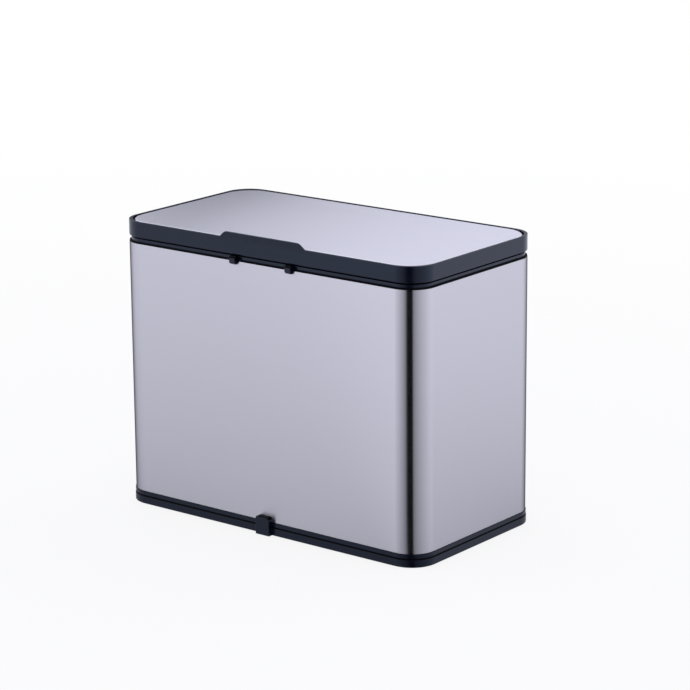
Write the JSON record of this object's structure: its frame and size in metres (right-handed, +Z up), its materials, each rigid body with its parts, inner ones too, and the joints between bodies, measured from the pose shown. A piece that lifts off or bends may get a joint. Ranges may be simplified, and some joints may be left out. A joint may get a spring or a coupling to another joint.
{
  "type": "trash can",
  "caption": "Slim rectangular lidded kitchen bin: brushed steel sleeve on a plastic base, lift-off head with a rear-hinged lid and finger tab, loose inner bucket with a bail.",
  "frame": {"origin": "on the ground under the middle of the bin", "axes": "+Z up, -Y towards the front with the finger tab, +X to the viewer's right"},
  "size_m": [0.3416, 0.191, 0.2737],
  "materials": {
    "brushed_steel": "fine horizontal brushing, satin",
    "brushed_steel_top": "fine brushing along the lid's length, satin",
    "plain_steel": "plain mill finish",
    "screw_steel": "bright zinc plate",
    "wire_steel": "bright drawn wire",
    "black_plastic": "satin black moulding with a fine texture",
    "dark_plastic": "matte dark grey moulding",
    "bucket_plastic": "matte charcoal moulding",
    "grip_plastic": "matte black sleeve",
    "rubber": "soft dull rubber",
    "foam_tape": "closed foam tape"
  },
  "bodies": {
    "shell": {"outer_shell": "brushed_steel", "seam_strip": "plain_steel", "base_ring": "black_plastic", "base_floor": "dark_plastic", "base_clip": "black_plastic", "base_screws": "screw_steel", "foot_front_left": "rubber", "foot_front_right": "rubber", "foot_rear_left": "rubber", "foot_rear_right": "rubber"},
    "head": {"top_frame": "black_plastic", "hinge_pin_left": "screw_steel", "hinge_pin_right": "screw_steel", "bumper_front_left": "rubber", "bumper_front_right": "rubber", "bumper_rear_left": "rubber", "bumper_rear_right": "rubber"},
    "lid": {"lid_frame": "black_plastic", "lid_panel": "brushed_steel_top", "panel_pads": "foam_tape", "lid_liner": "dark_plastic", "lid_screws": "screw_steel"},
    "bucket": {"inner_bucket": "bucket_plastic"},
    "handle": {"bail_wire": "wire_steel", "handle_grip": "grip_plastic"}
  },
  "joints": [
    {"name": "head_lift", "type": "slide", "parent": "shell", "child": "head", "axis": [0, 0, 1], "range_m": [0, 0.5]},
    {"name": "lid_hinge", "type": "hinge", "parent": "head", "child": "lid", "pos_m": [0, 0.0927, 0.2504], "axis": [-1, 0, 0], "range_deg": [0, 100]},
    {"name": "bucket_lift", "type": "slide", "parent": "shell", "child": "bucket", "axis": [0, 0, 1], "range_m": [0, 0.25]},
    {"name": "handle_swing", "type": "hinge", "parent": "bucket", "child": "handle", "pos_m": [0, 0, 0.2433], "axis": [-1, 0, 0], "range_deg": [0, 90]}
  ],
  "couplings": [
    {"joint": "bucket_lift", "follows": "head_lift", "ratio": 0.5},
    {"joint": "handle_swing", "follows": "head_lift", "rad_per_m": 3.1415}
  ]
}
